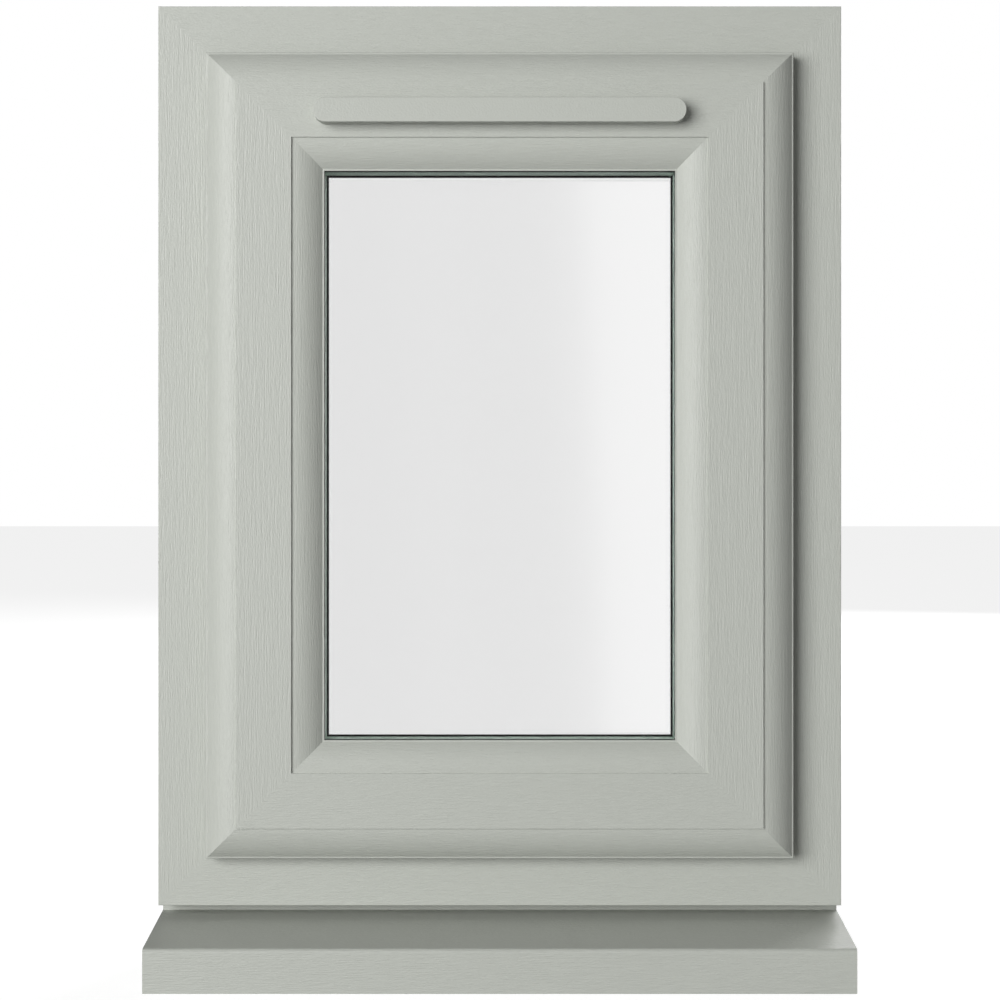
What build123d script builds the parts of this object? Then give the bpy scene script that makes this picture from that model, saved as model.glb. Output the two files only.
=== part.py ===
from build123d import *
import os

# Top-hung casement window: a sculptured frame and sash of chambered, mitred extrusions, a double-glazed
# unit, a trickle vent on the sash's top rail, a handle on the inside and a projecting cill.
# Millimetres. +X is to the right seen from outside, -Y is outside, +Z is up.
# The origin is the middle of the cill's underside.

# Outer frame
frame_width = 480
frame_height = 632
frame_depth = 70
sash_reveal = 35.2          # frame face that shows around the sash
sash_lap = 8                # how far the sash's lip laps over the frame's face
upstand_lap = 8             # how far the frame's upstand laps behind the sash
hardware_gap = 12           # cavity between frame and sash for the stays and the lock
frame_arris = 0.5
upstand_arris = 4

# Walls of the frame and sash extrusions
outer_wall = 2.8
inner_web = 1.6

# Sash
sash_depth = 76.5
sash_proud = 26.5           # sash face in front of the frame face
lip_flat = 1.2
lip_round = 0.8
ovolo_width = 21
outer_drop = 9.8            # fall of the ovolo towards the frame
inner_drop = 8              # fall of the ovolo towards the glass
quirk_step = 1.5
face_flat = 38.2
glazing_lip = 3             # thickness of the lip in front of the glass
inside_chamber = 10
lip_chamber = 12            # chamber behind the outer ovolo

# Double-glazed unit
pane_thickness = 4
cavity = 20
edge_cover = 12             # how far the glass runs in behind the lip
packer_gap = 5              # room between the glass edge and the rebate floor
spacer_height = 7.5
edge_seal = 1.5             # line of sealant between the spacer and the inner pane
edge_seal_show = 1.4        # how far the sealant runs past the sight line

# Seals and gaskets
outer_seal = 3.5            # closed thickness between sash lip and frame face
inner_seal = 3              # closed thickness between sash and frame upstand
seal_width = 4
seal_setback = 2
glazing_gasket = 3
glazing_gasket_show = 0.2   # how far the outer gasket runs past the sight line
bead_gasket = 3
bead_gasket_show = 0.5      # how far the inner gasket runs past the sight line
gasket_width = 8

# Glazing beads
bead_nose = 4
bead_flat = 5               # flat of the bead level with the sash's inside face
bead_bulge = 2.5            # rise of the bead's curved face
bead_wall = 1.6

# Cill
cill_depth = 150
cill_seat = 46.5            # height of the seat that carries the frame
nose_height = 30
step_height = 7
step_setback = 25           # step behind the frame's front face
nose_top_round = 3
nose_bottom_round = 1.8
cill_wall = 2.8
nose_chambers = 3
seat_chambers = 2
drip_inset = 14
drip_width = 6
drip_height = 1.2
end_cap = 3

# Trickle vent
vent_length = 257
vent_height = 17
vent_projection = 13.2
vent_drop = 2               # vent's middle below the middle of the sash's flat
vent_wall = 2
vent_round = 0.5
vent_gap = 1.5              # air gap along the foot of the canopy's underside
housing_margin = 4          # inner housing longer than the canopy, at each end
housing_height = 24
housing_depth = 9
housing_corner = 4
housing_round = 1.5
flap_margin = 12            # housing that shows at each end of the flap
flap_height = 11
flap_recess = 4
flap_depth = 8
flap_clearance = 0.5
flap_round = 1.5

# Handle
base_length = 120
base_height = 26
base_depth = 11
base_corner = 8
base_round = 3
boss_diameter = 21
boss_depth = 4
neck_diameter = 16
neck_depth = 14
pivot_offset = 36           # pivot from the base's middle
lever_length = 104
lever_root_radius = 10
lever_tip_radius = 7.5
lever_depth = 12
lever_round = 4

# Places worked out from the sizes above. Reach is measured inwards from the frame's outer edge,
# and depth is measured towards the inside from the frame's front face.
lip_width = lip_flat + ovolo_width
frame_leg = sash_reveal + sash_lap
sash_flank = frame_leg + hardware_gap
upstand_edge = sash_flank + upstand_lap
face_start = sash_reveal + lip_width
face_end = face_start + face_flat
sight_line = face_end + lip_width
glass_edge = sight_line - edge_cover
rebate_floor = glass_edge - packer_gap
inside_middle = (upstand_edge + rebate_floor) / 2

sash_face = -sash_proud
ovolo_top = sash_face + quirk_step
outer_lip_front = ovolo_top + outer_drop
inner_lip_front = ovolo_top + inner_drop
lip_back = -outer_seal
sash_inside = sash_face + sash_depth
upstand_front = sash_inside + inner_seal
glazing_lip_back = inner_lip_front + glazing_lip
outer_pane_front = glazing_lip_back + glazing_gasket
cavity_front = outer_pane_front + pane_thickness
inner_pane_front = cavity_front + cavity
inner_pane_back = inner_pane_front + pane_thickness
bead_front = inner_pane_back + bead_gasket

frame_front = cill_depth / 2 - frame_depth
frame_middle = cill_seat + frame_height / 2
frame_top = cill_seat + frame_height
cill_front = -cill_depth / 2
cill_back = cill_depth / 2
step_face = frame_front + step_setback
step_foot = cill_seat - step_height
vent_middle = frame_top - (face_start + face_end) / 2 - vent_drop
housing_middle = frame_top - inside_middle
handle_middle = cill_seat + inside_middle

os.makedirs("parts", exist_ok=True)


def save(piece, name):
    """Label a finished piece and write it to a file of its own."""
    piece.label = name
    export_step(piece, f"parts/{name}.step")


def chamber(reach_from, reach_to, depth_from, depth_to):
    """Take a rectangular chamber out of the section that is being drawn."""
    with Locations(((reach_from + reach_to) / 2, (depth_from + depth_to) / 2)):
        Rectangle(reach_to - reach_from, depth_to - depth_from, mode=Mode.SUBTRACT)


def outside_plane(depth, height):
    """A plane across the window that faces outside."""
    return Plane(origin=(0, frame_front + depth, height), x_dir=(1, 0, 0), z_dir=(0, -1, 0))


def inside_plane(depth, height):
    """A plane across the window that faces inside."""
    return Plane(origin=(0, frame_front + depth, height), x_dir=(-1, 0, 0), z_dir=(0, 1, 0))


# The four sides of the window: where the outer edge of each runs, the way that reach goes, and its length
sides = {
    "left": ((-frame_width / 2, frame_front, frame_middle), (1, 0, 0), frame_height),
    "right": ((frame_width / 2, frame_front, frame_middle), (-1, 0, 0), frame_height),
    "top": ((0, frame_front, frame_top), (0, 0, -1), frame_width),
    "bottom": ((0, frame_front, cill_seat), (0, 0, 1), frame_width),
}


def mitred_member(section, side):
    """Extrude a section along one side of the window and mitre both ends at 45 degrees."""
    edge, inwards, length = sides[side]
    along = Vector(inwards).cross(Vector(0, 1, 0))
    plane = Plane(origin=edge, x_dir=inwards, z_dir=along)
    with BuildPart() as member:
        with BuildSketch(plane):
            add(section)
        extrude(amount=length / 2, both=True)
        for end in (along, -along):
            mitre = Plane(origin=Vector(edge) + end * (length / 2), z_dir=end + Vector(inwards))
            split(bisect_by=mitre, keep=Keep.BOTTOM)
    return member.part


def ring(reach_outer, reach_inner, depth_front, depth_back):
    """A rectangular ring around the opening, such as a gasket."""
    with BuildPart() as band:
        with BuildSketch(outside_plane(depth_back, frame_middle)):
            Rectangle(frame_width - 2 * reach_outer, frame_height - 2 * reach_outer)
            Rectangle(frame_width - 2 * reach_inner, frame_height - 2 * reach_inner, mode=Mode.SUBTRACT)
        extrude(amount=depth_back - depth_front)
    return band.part


def pane(depth_front):
    """One sheet of glass of the double-glazed unit."""
    with BuildPart() as sheet:
        with BuildSketch(outside_plane(depth_front + pane_thickness, frame_middle)):
            Rectangle(frame_width - 2 * glass_edge, frame_height - 2 * glass_edge)
        extrude(amount=pane_thickness)
    return sheet.part


# Outer frame: an L-shaped section with the upstand that the sash closes against, around three chambers
with BuildSketch() as frame_section:
    with BuildLine():
        Polyline(
            (0, 0),
            (frame_leg, 0),
            (frame_leg, upstand_front),
            (upstand_edge, upstand_front),
            (upstand_edge, frame_depth),
            (0, frame_depth),
            close=True,
        )
    make_face()
    frame_corners = frame_section.vertices()
    fillet(frame_corners.sort_by_distance((0, 0))[0], frame_arris)
    fillet(frame_corners.sort_by_distance((upstand_edge, frame_depth))[0], upstand_arris)
    leg_middle = upstand_front / 2
    leg_back = upstand_front + outer_wall - inner_web
    chamber(outer_wall, frame_leg - outer_wall, outer_wall, leg_middle - inner_web / 2)
    chamber(outer_wall, frame_leg - outer_wall, leg_middle + inner_web / 2, leg_back)
    chamber(outer_wall, upstand_edge - outer_wall, upstand_front + outer_wall, frame_depth - outer_wall)

frame_names = {
    "left": "frame_left_jamb",
    "right": "frame_right_jamb",
    "top": "frame_head",
    "bottom": "frame_bottom_rail",
}
for side, name in frame_names.items():
    save(mitred_member(frame_section.sketch, side), name)

# Sash: lip, ovolo, quirk, flat, quirk, ovolo and glazing lip on the outside, around four chambers
with BuildSketch() as sash_section:
    with BuildLine():
        Polyline(
            (face_start, ovolo_top),
            (face_start, sash_face),
            (face_end, sash_face),
            (face_end, ovolo_top),
        )
        TangentArc((face_end, ovolo_top), (sight_line - lip_flat, inner_lip_front), tangent=(1, 0))
        Polyline(
            (sight_line - lip_flat, inner_lip_front),
            (sight_line, inner_lip_front),
            (sight_line, glazing_lip_back),
            (rebate_floor, glazing_lip_back),
            (rebate_floor, sash_inside),
            (sash_flank, sash_inside),
            (sash_flank, lip_back),
            (sash_reveal, lip_back),
            (sash_reveal, outer_lip_front),
            (sash_reveal + lip_flat, outer_lip_front),
        )
        TangentArc((face_start, ovolo_top), (sash_reveal + lip_flat, outer_lip_front), tangent=(-1, 0))
    make_face()
    sash_corners = sash_section.vertices()
    fillet(sash_corners.sort_by_distance((sash_reveal, outer_lip_front))[0], lip_round)
    fillet(sash_corners.sort_by_distance((sight_line, inner_lip_front))[0], lip_round)
    flank_wall = sash_flank + outer_wall
    floor_wall = rebate_floor - outer_wall
    inside_back = sash_inside - outer_wall
    inside_front = inside_back - inside_chamber
    chamber(face_start + outer_wall, face_end - outer_wall, sash_face + outer_wall, glazing_lip_back)
    chamber(face_start - lip_chamber, face_start, lip_back - outer_wall - lip_chamber, lip_back - outer_wall)
    chamber(flank_wall, floor_wall, glazing_lip_back + inner_web, inside_front - inner_web)
    chamber(flank_wall, floor_wall, inside_front, inside_back)

sash_names = {
    "left": "sash_left_stile",
    "right": "sash_right_stile",
    "top": "sash_top_rail",
    "bottom": "sash_bottom_rail",
}
for side, name in sash_names.items():
    save(mitred_member(sash_section.sketch, side), name)

# Glazing beads: sculptured, clipped in on the inside against the glass
with BuildSketch() as bead_section:
    bead_turn = rebate_floor + bead_flat
    bead_foot = bead_front + bead_nose
    with BuildLine():
        SagittaArc((sight_line, bead_foot), (bead_turn, sash_inside), -bead_bulge)
        Polyline(
            (bead_turn, sash_inside),
            (rebate_floor, sash_inside),
            (rebate_floor, bead_front),
            (sight_line, bead_front),
            (sight_line, bead_foot),
        )
    make_face()
    chamber(rebate_floor + bead_wall, bead_turn, bead_front + bead_wall, sash_inside - bead_wall)

for side in sides:
    save(mitred_member(bead_section.sketch, side), f"bead_{side}")

# Double-glazed unit
save(pane(outer_pane_front), "outer_pane")
save(pane(inner_pane_front), "inner_pane")
spacer_root = sight_line - spacer_height
sealant_edge = sight_line + edge_seal_show
sealant_front = inner_pane_front - edge_seal
save(ring(spacer_root, sight_line, cavity_front, sealant_front), "spacer_bar")
save(ring(spacer_root, sealant_edge, sealant_front, inner_pane_front), "edge_seal")

# Gaskets of the glass, and the weather seals between sash and frame
outer_gasket_edge = sight_line + glazing_gasket_show
outer_gasket_root = outer_gasket_edge - gasket_width
save(ring(outer_gasket_root, outer_gasket_edge, glazing_lip_back, outer_pane_front), "glazing_gasket")
inner_gasket_edge = sight_line + bead_gasket_show
inner_gasket_root = inner_gasket_edge - gasket_width
save(ring(inner_gasket_root, inner_gasket_edge, inner_pane_back, bead_front), "bead_gasket")
lip_seal = sash_reveal + seal_setback
save(ring(lip_seal, lip_seal + seal_width, lip_back, 0), "outer_weather_seal")
upstand_seal = sash_flank + seal_setback
save(ring(upstand_seal, upstand_seal + seal_width, sash_inside, upstand_front), "inner_weather_seal")


def slope_height(place):
    """Height of the cill's sloping top at a place between the nose and the step."""
    share = (place - cill_front) / (step_face - cill_front)
    return nose_height + share * (step_foot - nose_height)


def cill_outline():
    """Outer shape of the cill across its length, with the drip groove under the nose."""
    with BuildSketch() as outline:
        with BuildLine():
            Polyline(
                (cill_front, 0),
                (cill_front, nose_height),
                (step_face, step_foot),
                (step_face, cill_seat),
                (cill_back, cill_seat),
                (cill_back, 0),
                close=True,
            )
        make_face()
        corners = outline.vertices()
        fillet(corners.sort_by_distance((cill_front, nose_height))[0], nose_top_round)
        fillet(corners.sort_by_distance((cill_front, 0))[0], nose_bottom_round)
        with Locations((cill_front + drip_inset, drip_height / 2)):
            Rectangle(drip_width, drip_height, mode=Mode.SUBTRACT)
    return outline.sketch


def cill_chambers(start, stop, count, top):
    """A row of chambers between two places, under a top whose height a function gives."""
    width = (stop - start - (count - 1) * cill_wall) / count
    with BuildSketch() as chambers:
        for number in range(count):
            left = start + number * (width + cill_wall)
            right = left + width
            with BuildLine():
                Polyline(
                    (left, cill_wall),
                    (right, cill_wall),
                    (right, top(right) - cill_wall),
                    (left, top(left) - cill_wall),
                    close=True,
                )
            make_face()
    return chambers.sketch


# Cill: a hollow extrusion that slopes to its nose, with a cap at each end
body_length = frame_width - 2 * end_cap
cill_shape = cill_outline()
nose_row = cill_chambers(cill_front + cill_wall, step_face, nose_chambers, slope_height)
seat_row = cill_chambers(step_face + cill_wall, cill_back - cill_wall, seat_chambers, lambda place: cill_seat)
with BuildPart() as cill:
    with BuildSketch(Plane.YZ):
        add(cill_shape)
        add(nose_row, mode=Mode.SUBTRACT)
        add(seat_row, mode=Mode.SUBTRACT)
    extrude(amount=body_length / 2, both=True)
save(cill.part, "cill")

cap_starts = {"cill_left_cap": -frame_width / 2, "cill_right_cap": body_length / 2}
for name, start in cap_starts.items():
    with BuildPart() as cap:
        with BuildSketch(Plane.YZ.offset(start)):
            add(cill_shape)
        extrude(amount=end_cap)
    save(cap.part, name)

# Trickle vent: a canopy on the outside, whose underside stops short of the sash to let the air through
vent_plane = outside_plane(sash_face, vent_middle)
with BuildPart() as vent_canopy:
    with BuildSketch(vent_plane):
        SlotOverall(vent_length, vent_height)
    extrude(amount=vent_projection)
    fillet(vent_canopy.faces().sort_by(Axis.Y)[0].edges(), vent_round)
    with BuildSketch(vent_plane):
        SlotOverall(vent_length - 2 * vent_wall, vent_height - 2 * vent_wall)
    extrude(amount=vent_projection - vent_wall, mode=Mode.SUBTRACT)
    with BuildSketch(vent_plane):
        with Locations((0, -(vent_height - vent_wall) / 2)):
            Rectangle(vent_length - vent_height, vent_wall)
    extrude(amount=vent_gap, mode=Mode.SUBTRACT)
save(vent_canopy.part, "vent_canopy")

# Inside of the vent: a housing on the top rail, with the flap that closes it in a recess
housing_length = vent_length + 2 * housing_margin
recess_length = housing_length - 2 * flap_margin
recess_height = flap_height + 2 * flap_clearance
recess_floor = sash_inside + housing_depth - flap_recess
with BuildPart() as vent_housing:
    with BuildSketch(inside_plane(sash_inside, housing_middle)):
        RectangleRounded(housing_length, housing_height, housing_corner)
    extrude(amount=housing_depth)
    fillet(vent_housing.faces().sort_by(Axis.Y)[-1].edges(), housing_round)
    with BuildSketch(inside_plane(recess_floor, housing_middle)):
        Rectangle(recess_length, recess_height)
    extrude(amount=flap_recess, mode=Mode.SUBTRACT)
save(vent_housing.part, "vent_housing")

with BuildPart() as vent_flap:
    with BuildSketch(inside_plane(recess_floor, housing_middle)):
        Rectangle(recess_length - 2 * flap_clearance, flap_height)
    extrude(amount=flap_depth)
    fillet(vent_flap.faces().sort_by(Axis.Y)[-1].edges(), flap_round)
save(vent_flap.part, "vent_flap")

# Handle on the inside of the bottom rail: a base with its boss, and a lever that lies along the rail
boss_front = sash_inside + base_depth
neck_front = boss_front + boss_depth
lever_front = neck_front + neck_depth
with BuildPart() as handle_base:
    with BuildSketch(inside_plane(sash_inside, handle_middle)):
        RectangleRounded(base_length, base_height, base_corner)
    extrude(amount=base_depth)
    fillet(handle_base.faces().sort_by(Axis.Y)[-1].edges(), base_round)
    with BuildSketch(inside_plane(boss_front, handle_middle)):
        with Locations((pivot_offset, 0)):
            Circle(boss_diameter / 2)
    extrude(amount=boss_depth)
save(handle_base.part, "handle_base")

with BuildPart() as handle_lever:
    with BuildSketch(inside_plane(lever_front, handle_middle)):
        with Locations((pivot_offset, 0)):
            Circle(lever_root_radius)
        with Locations((pivot_offset - lever_length, 0)):
            Circle(lever_tip_radius)
        make_hull()
    extrude(amount=lever_depth)
    fillet(handle_lever.faces().sort_by(Axis.Y)[-1].edges(), lever_round)
    with BuildSketch(inside_plane(neck_front, handle_middle)):
        with Locations((pivot_offset, 0)):
            Circle(neck_diameter / 2)
    extrude(amount=neck_depth)
save(handle_lever.part, "handle_lever")
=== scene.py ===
import math

import bpy
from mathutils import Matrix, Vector


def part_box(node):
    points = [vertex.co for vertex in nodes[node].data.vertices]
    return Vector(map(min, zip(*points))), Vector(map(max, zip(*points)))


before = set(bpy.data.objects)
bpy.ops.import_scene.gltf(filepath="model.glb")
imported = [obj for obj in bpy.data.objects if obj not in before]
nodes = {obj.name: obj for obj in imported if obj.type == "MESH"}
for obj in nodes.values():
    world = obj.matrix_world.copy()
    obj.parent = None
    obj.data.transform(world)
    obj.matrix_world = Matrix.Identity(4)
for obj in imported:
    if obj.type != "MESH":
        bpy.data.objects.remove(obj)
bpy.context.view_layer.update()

# Looks of a top-hung window: grey woodgrain foil, moulded plastic, glass and rubber in soft studio light.
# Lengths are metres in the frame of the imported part: outside is -Y, +Z is up.

MM = 0.001

# Colours as linear values
FOIL_GREY = (0.480, 0.498, 0.456)
PANE_TINT = (0.995, 0.995, 0.995)
SPACER_GREY = (0.750, 0.910, 0.800)
RUBBER_BLACK = (0.005, 0.005, 0.005)
STAGE_WHITE = (0.45, 0.45, 0.45)

# Woodgrain emboss
GRAIN_WIDTH = 0.68 * MM
DASH_WIDTH = 0.62 * MM
DASH_SHARE = 0.8            # height of the dashes beside the long streaks
UPRIGHT_GRAIN = {
    "length": 18 * MM, "dash": 3.2 * MM, "height": 0.152 * MM,
    "sway": 0.35 * MM, "grit": 0.3, "depthwise": 1.0,
}
LEVEL_GRAIN = {
    "length": 9 * MM, "dash": 1.8 * MM, "height": 0.165 * MM,
    "sway": 0.4 * MM, "grit": 0.2, "depthwise": 1.0,
}
CILL_GRAIN = {
    "length": 12 * MM, "dash": 2.5 * MM, "height": 0.20 * MM,
    "sway": 0.4 * MM, "grit": 0.25, "depthwise": 1.8,
}
WAVE_LENGTH = 30 * MM
WAVE_WIDTH = 12 * MM
GRIT = 0.7 * MM
NOISE_LOW = 0.3             # most of a noise lies between these two
NOISE_HIGH = 0.7
FOIL_GLOSS = (0.42, 0.52)   # roughness, from hollow to crest
FOIL_TONES = (0.98, 1.02)   # tone, from hollow to crest

# Moulded plastic
SPECKLE = 1.4 * MM
SPECKLE_HEIGHT = 0.18 * MM

# Glass
CLEAR_INDEX = 1.5
COATED_INDEX = 1.9

# Floor
FLOOR_REACH = 30.0
FLOOR_GLOW = 0.80           # added where the camera sees the floor

# Light
AMBIENT = 0.168
KEY_POWER = 277.0
LAMP_DISTANCE = 5.2
KEY_SIZE = (3.7, 3.05)
KEY_TURN = 33.5             # degrees to the left of straight ahead
KEY_RISE = 8.5              # degrees above the horizon
BACK_POWER = 200.0
BACK_SIZE = (3.0, 3.0)
BACK_TURN = 210.0
BACK_RISE = 20.0

# Pale wall that the inner pane mirrors, by its place across the view: 0 is left, 1 is right
WALL_SIDE = (1.0, 0.0368, 0.0406)
WALL_SPREAD = 0.06
WALL_TONES = (
    (0.0, 0.05), (0.30, 0.07), (0.44, 0.25), (0.51, 0.50), (0.575, 0.72), (0.68, 0.83), (1.0, 0.85),
)
PANE_FACES = 2.5            # more faces crossed than this: the ray has met the inner pane

# Camera
CAMERA_DISTANCE = 1767.6 * MM   # in front of the frame's face
CAMERA_HEIGHT = 331.5 * MM
CAMERA_SIDE = 0.18 * MM
CAMERA_LENS = 90.54         # on a sensor 36 mm wide


class Shader:
    """A node material with its Principled shader, and short ways to add and join nodes."""

    def __init__(self, name):
        self.material = bpy.data.materials.new(name)
        self.material.use_nodes = True
        self.tree = self.material.node_tree
        self.principled = self.tree.nodes["Principled BSDF"]

    def node(self, kind, inputs=None, **settings):
        made = self.tree.nodes.new(kind)
        for key, value in settings.items():
            setattr(made, key, value)
        for key, value in (inputs or {}).items():
            if isinstance(value, bpy.types.NodeSocket):
                self.tree.links.new(value, made.inputs[key])
            else:
                made.inputs[key].default_value = value
        return made

    def math(self, operation, first, second):
        return self.node("ShaderNodeMath", {0: first, 1: second}, operation=operation).outputs[0]

    def noise(self, vector, scale, detail=2.0, roughness=0.5):
        made = self.node(
            "ShaderNodeTexNoise",
            {"Vector": vector, "Scale": scale, "Detail": detail, "Roughness": roughness},
        )
        return made.outputs["Fac"]

    def ramp(self, value, low, high, to_low=0.0, to_high=1.0):
        made = self.node(
            "ShaderNodeMapRange",
            {"Value": value, "From Min": low, "From Max": high, "To Min": to_low, "To Max": to_high},
        )
        return made.outputs["Result"]

    def blend(self, share, first, second):
        """A colour between two others."""
        return self.node("ShaderNodeMix", {0: share, 6: first, 7: second}, data_type="RGBA").outputs[2]

    def stretched(self, sizes):
        """Object coordinates divided by a size along each axis."""
        return self.scaled(self.node("ShaderNodeTexCoord").outputs["Object"], sizes)

    def scaled(self, place, sizes):
        """A place divided by a size along each axis."""
        scale = tuple(1.0 / size for size in sizes)
        return self.node("ShaderNodeMapping", {"Vector": place, "Scale": scale}).outputs["Vector"]

    def set(self, **values):
        for key, value in values.items():
            socket = self.principled.inputs[key.replace("_", " ")]
            if isinstance(value, bpy.types.NodeSocket):
                self.tree.links.new(value, socket)
            else:
                socket.default_value = value


def rgba(colour):
    return (*colour, 1.0)


def shade(colour, factor):
    return rgba(tuple(part * factor for part in colour))


def along(axis, length, width, depthwise=1.0):
    """Sizes of a streak that runs along one axis, and may be wider across the window's depth."""
    sizes = {"X": width, "Y": width * depthwise, "Z": width}
    sizes[axis] = length
    return tuple(sizes.values())


def foil(name, axis, grain):
    """Grey foil with an embossed woodgrain that runs along one axis."""
    shader = Shader(name)
    place = shader.node("ShaderNodeTexCoord").outputs["Object"]
    wave = shader.noise(shader.stretched(along(axis, WAVE_LENGTH, WAVE_WIDTH)), 1.0)
    sway = shader.ramp(wave, NOISE_LOW, NOISE_HIGH, -grain["sway"], grain["sway"])
    swayed = shader.node("ShaderNodeVectorMath", {0: place, 1: sway}, operation="ADD").outputs[0]
    long_sizes = along(axis, grain["length"], GRAIN_WIDTH, grain["depthwise"])
    short_sizes = along(axis, grain["dash"], DASH_WIDTH, grain["depthwise"])
    streaks = shader.noise(shader.scaled(swayed, long_sizes), 1.0, detail=0.0)
    dashes = shader.noise(shader.scaled(swayed, short_sizes), 1.0, detail=0.0)
    grit = shader.noise(shader.scaled(place, (GRIT,) * 3), 1.0, detail=0.0)
    lines = shader.math("ADD", streaks, shader.math("MULTIPLY", dashes, DASH_SHARE))
    height = shader.math("ADD", lines, shader.math("MULTIPLY", grit, grain["grit"]))
    bump = shader.node("ShaderNodeBump", {"Height": height, "Strength": 1.0, "Distance": grain["height"]})
    tone = shader.ramp(lines, 0.6, 1.2)
    shader.set(
        Base_Color=shader.blend(tone, *(shade(FOIL_GREY, factor) for factor in FOIL_TONES)),
        Roughness=shader.ramp(streaks, NOISE_LOW, NOISE_HIGH, *FOIL_GLOSS),
        Normal=bump.outputs["Normal"],
    )
    return shader.material


def moulded(name):
    """Grey moulded plastic with a fine even texture."""
    shader = Shader(name)
    speckle = shader.noise(shader.stretched((SPECKLE,) * 3), 1.0, detail=2.0)
    bump = shader.node("ShaderNodeBump", {"Height": speckle, "Strength": 1.0, "Distance": SPECKLE_HEIGHT})
    shader.set(
        Base_Color=rgba(FOIL_GREY),
        Roughness=shader.ramp(speckle, NOISE_LOW, NOISE_HIGH, *FOIL_GLOSS),
        Normal=bump.outputs["Normal"],
    )
    return shader.material


def glass(name, index):
    """Clear glass. A higher index stands for a coating that mirrors more."""
    shader = Shader(name)
    shader.set(Base_Color=rgba(PANE_TINT), Roughness=0.0, IOR=index, Transmission_Weight=1.0)
    return shader.material


def metal_bar(name):
    shader = Shader(name)
    shader.set(Base_Color=rgba(SPACER_GREY), Metallic=0.1, Roughness=0.5)
    return shader.material


def rubber(name):
    shader = Shader(name)
    shader.set(Base_Color=rgba(RUBBER_BLACK), Roughness=0.8, Specular_IOR_Level=0.2)
    return shader.material


def dress(material, *names):
    """Give a material to carried-over nodes."""
    for name in names:
        nodes[name].data.materials.clear()
        nodes[name].data.materials.append(material)


upright_foil = foil("grey_foil_upright", "Z", UPRIGHT_GRAIN)
level_foil = foil("grey_foil_level", "X", LEVEL_GRAIN)
dress(
    upright_foil,
    "frame_left_jamb", "frame_right_jamb", "sash_left_stile", "sash_right_stile", "bead_left", "bead_right",
)
dress(
    level_foil,
    "frame_head", "frame_bottom_rail", "sash_top_rail", "sash_bottom_rail", "bead_top", "bead_bottom",
)
dress(foil("grey_foil_cill", "X", CILL_GRAIN), "cill", "cill_left_cap", "cill_right_cap")
dress(moulded("grey_moulding"), "vent_canopy", "vent_housing", "vent_flap", "handle_base", "handle_lever")
dress(glass("clear_glass", CLEAR_INDEX), "outer_pane")
dress(glass("coated_glass", COATED_INDEX), "inner_pane")
dress(metal_bar("spacer_metal"), "spacer_bar")
dress(
    rubber("black_rubber"),
    "edge_seal", "glazing_gasket", "bead_gasket", "outer_weather_seal", "inner_weather_seal",
)


# Floor and world
def white_floor():
    """A pale floor, close to white in the light, that keeps the window's shadow."""
    reach = FLOOR_REACH
    corners = [(-reach, -reach, 0), (reach, -reach, 0), (reach, reach, 0), (-reach, reach, 0)]
    mesh = bpy.data.meshes.new("floor")
    mesh.from_pydata(corners, [], [(0, 1, 2, 3)])
    floor = bpy.data.objects.new("floor", mesh)
    bpy.context.scene.collection.objects.link(floor)
    shader = Shader("floor_white")
    seen = shader.node("ShaderNodeLightPath").outputs["Is Camera Ray"]
    shader.set(Base_Color=rgba(STAGE_WHITE), Roughness=1.0, Specular_IOR_Level=0.0)
    shader.set(Emission_Color=(1, 1, 1, 1), Emission_Strength=shader.math("MULTIPLY", seen, FLOOR_GLOW))
    floor.data.materials.append(shader.material)
    floor.visible_shadow = False
    floor.visible_glossy = False
    floor.visible_transmission = False


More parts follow.
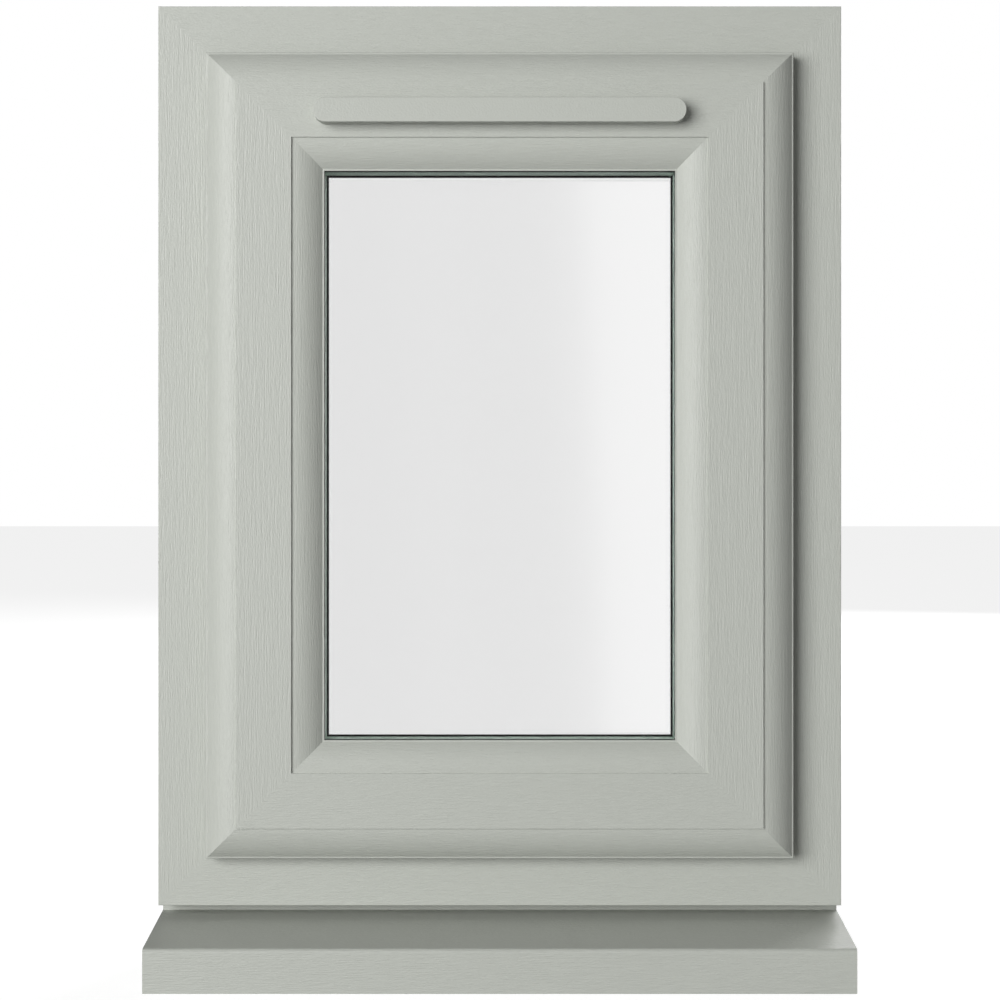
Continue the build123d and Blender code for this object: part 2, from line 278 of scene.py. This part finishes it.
def studio_world():
    """White behind the object, an even fill on it, and a wall in the inner pane that is paler to the right."""
    world = bpy.data.worlds.new("studio")
    bpy.context.scene.world = world
    world.use_nodes = True
    tree = world.node_tree
    background = tree.nodes["Background"]
    path = tree.nodes.new("ShaderNodeLightPath").outputs

    def combine(operation, first, second):
        made = tree.nodes.new("ShaderNodeMath")
        made.operation = operation
        for socket, value in zip(made.inputs, (first, second)):
            if isinstance(value, bpy.types.NodeSocket):
                tree.links.new(value, socket)
            else:
                socket.default_value = value
        return made.outputs[0]

    mirrored = combine("MINIMUM", path["Glossy Depth"], 1.0)
    scattered = combine("MINIMUM", path["Diffuse Depth"], 1.0)
    through = combine("GREATER_THAN", path["Transmission Depth"], PANE_FACES)
    straight = combine("SUBTRACT", 1.0, combine("MAXIMUM", mirrored, scattered))
    seen = combine("MULTIPLY", combine("MAXIMUM", path["Is Camera Ray"], path["Is Transmission Ray"]), straight)
    plain = combine("ADD", AMBIENT, combine("MULTIPLY", seen, 1.0 - AMBIENT))
    place = tree.nodes.new("ShaderNodeTexCoord")
    side = tree.nodes.new("ShaderNodeVectorMath")
    side.operation = "DOT_PRODUCT"
    side.inputs[1].default_value = WALL_SIDE
    tree.links.new(place.outputs["Generated"], side.inputs[0])
    shift = tree.nodes.new("ShaderNodeMapRange")
    shift.inputs["From Min"].default_value = -WALL_SPREAD
    shift.inputs["From Max"].default_value = WALL_SPREAD
    tree.links.new(side.outputs["Value"], shift.inputs["Value"])
    wall = tree.nodes.new("ShaderNodeFloatCurve")
    tree.links.new(shift.outputs["Result"], wall.inputs["Value"])
    curve = wall.mapping.curves[0]
    for point, tone in zip(curve.points, (WALL_TONES[0][1], WALL_TONES[-1][1])):
        point.location = (point.location[0], tone)
    for reach, tone in WALL_TONES[1:-1]:
        curve.points.new(reach, tone)
    wall.mapping.update()
    mix = tree.nodes.new("ShaderNodeMix")
    tree.links.new(combine("MULTIPLY", mirrored, through), mix.inputs[0])
    tree.links.new(plain, mix.inputs[2])
    tree.links.new(wall.outputs["Value"], mix.inputs[3])
    tree.links.new(mix.outputs[0], background.inputs["Strength"])
    background.inputs["Color"].default_value = (1, 1, 1, 1)


def soft_lamp(name, power, size, turn, rise):
    """A large soft lamp that points at the window."""
    turn = math.radians(turn)
    rise = math.radians(rise)
    target = Vector((0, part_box("frame_head")[0].y, CAMERA_HEIGHT))
    towards = Vector((-math.sin(turn) * math.cos(rise), -math.cos(turn) * math.cos(rise), math.sin(rise)))
    lamp = bpy.data.lights.new(name, "AREA")
    lamp.shape = "RECTANGLE"
    lamp.size, lamp.size_y = size
    lamp.energy = power
    made = bpy.data.objects.new(name, lamp)
    bpy.context.scene.collection.objects.link(made)
    made.location = target + towards * LAMP_DISTANCE
    made.rotation_euler = towards.to_track_quat("Z", "Y").to_euler()
    return made


def photo_camera():
    """A camera straight in front of the window, at the photograph's distance."""
    data = bpy.data.cameras.new("camera")
    data.lens = CAMERA_LENS
    data.sensor_width = 36.0
    camera = bpy.data.objects.new("camera", data)
    bpy.context.scene.collection.objects.link(camera)
    camera.location = (CAMERA_SIDE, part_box("frame_head")[0].y - CAMERA_DISTANCE, CAMERA_HEIGHT)
    camera.rotation_euler = (math.radians(90), 0, 0)
    bpy.context.scene.camera = camera


white_floor()
studio_world()
soft_lamp("key", KEY_POWER, KEY_SIZE, KEY_TURN, KEY_RISE)
back = soft_lamp("back", BACK_POWER, BACK_SIZE, BACK_TURN, BACK_RISE)
back.visible_camera = False
back.visible_transmission = False
photo_camera()
bpy.context.scene.view_settings.view_transform = "Standard"
